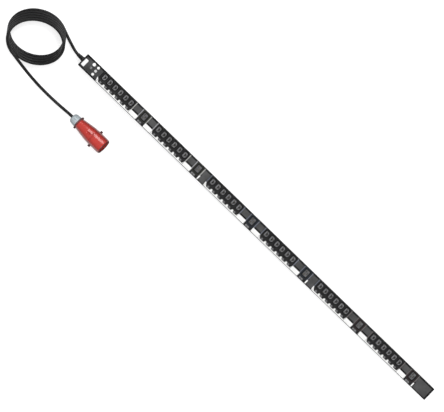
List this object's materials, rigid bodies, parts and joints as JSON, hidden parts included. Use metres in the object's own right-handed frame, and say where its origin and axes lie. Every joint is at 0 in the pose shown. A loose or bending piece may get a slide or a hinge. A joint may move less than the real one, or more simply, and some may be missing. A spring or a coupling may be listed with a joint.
{
  "type": "rack power strip",
  "caption": "Slim vertical power strip with rows of black outlets between dark grey panels, four round keys, a coiled cord and a red five-pin round plug.",
  "frame": {"origin": "middle of the back face of the strip, in the plane the strip lies on; the cord and its plug are not counted", "axes": "+X along the strip from the cord end to the far end, +Z out of the outlet face, +Y across the strip, to the side away from the label strip and the plug"},
  "size_m": [2.1187, 0.2676, 0.0701],
  "materials": {
    "housing": "black anodised extrusion, satin",
    "end_cap": "black moulded plastic, fine grain",
    "screw": "zinc plated",
    "panel": "dark grey moulded plastic, fine grain",
    "outlet": "black moulded plastic, satin",
    "window": "white translucent plastic",
    "key": "white moulded plastic",
    "status_light": "clear light pipe",
    "circuit_board": "green solder mask",
    "busbar": "bare copper",
    "inner_plastic": "natural insulating plastic",
    "bush": "black nylon",
    "cord": "black cord jacket, matt",
    "plug_nut": "light blue-grey plastic",
    "plug_red": "red moulded plastic, satin",
    "plug_insert": "dark insulating plastic",
    "plug_pin": "nickel plated brass"
  },
  "bodies": {
    "strip": {"blank_panel_1": "panel", "blank_panel_2": "panel", "blank_panel_3": "panel", "blank_panel_4": "panel", "blank_panel_5": "panel", "blank_panel_6": "panel", "blank_panel_7": "panel", "blank_panel_8": "panel", "blank_panel_9": "panel", "busbar_carrier": "inner_plastic", "busbar_earth": "busbar", "busbar_line_1": "busbar", "busbar_line_2": "busbar", "busbar_line_3": "busbar", "busbar_neutral": "busbar", "c13_outlets_1": "outlet", "c13_outlets_2": "outlet", "c13_outlets_3": "outlet", "c13_outlets_4": "outlet", "c13_outlets_5": "outlet", "c13_outlets_6": "outlet", "c19_outlet_1": "outlet", "c19_outlet_2": "outlet", "c19_outlet_3": "outlet", "c19_outlet_4": "outlet", "c19_outlet_5": "outlet", "c19_outlet_6": "outlet", "control_board": "circuit_board", "cord_boot": "cord", "cord_bush": "bush", "cord_coil": "cord", "cord_lead": "cord", "cord_tail": "cord", "display_window": "window", "end_panel": "panel", "far_cap_screw_1": "screw", "far_cap_screw_2": "screw", "far_end_cap": "end_cap", "head_cap_screw_1": "screw", "head_cap_screw_2": "screw", "head_end_cap": "end_cap", "head_panel": "panel", "housing_profile": "housing", "phase_divider_1": "panel", "phase_divider_2": "panel", "plug_body": "plug_red", "plug_cable_nut": "plug_nut", "plug_contact_carrier": "plug_insert", "plug_pin_1": "plug_pin", "plug_pin_2": "plug_pin", "plug_pin_3": "plug_pin", "plug_pin_4": "plug_pin", "plug_pin_5": "plug_pin", "plug_sleeve": "plug_red", "status_light": "status_light", "terminal_block": "inner_plastic"},
    "key_1": {"key_1": "key"},
    "key_2": {"key_2": "key"},
    "key_3": {"key_3": "key"},
    "key_4": {"key_4": "key"}
  },
  "joints": [
    {"name": "key_1_press", "type": "slide", "parent": "strip", "child": "key_1", "axis": [0, 0, -1], "range_m": [0, 0.0008], "stiffness_N_per_m": 800},
    {"name": "key_2_press", "type": "slide", "parent": "strip", "child": "key_2", "axis": [0, 0, -1], "range_m": [0, 0.0008], "stiffness_N_per_m": 800},
    {"name": "key_3_press", "type": "slide", "parent": "strip", "child": "key_3", "axis": [0, 0, -1], "range_m": [0, 0.0008], "stiffness_N_per_m": 800},
    {"name": "key_4_press", "type": "slide", "parent": "strip", "child": "key_4", "axis": [0, 0, -1], "range_m": [0, 0.0008], "stiffness_N_per_m": 800}
  ]
}
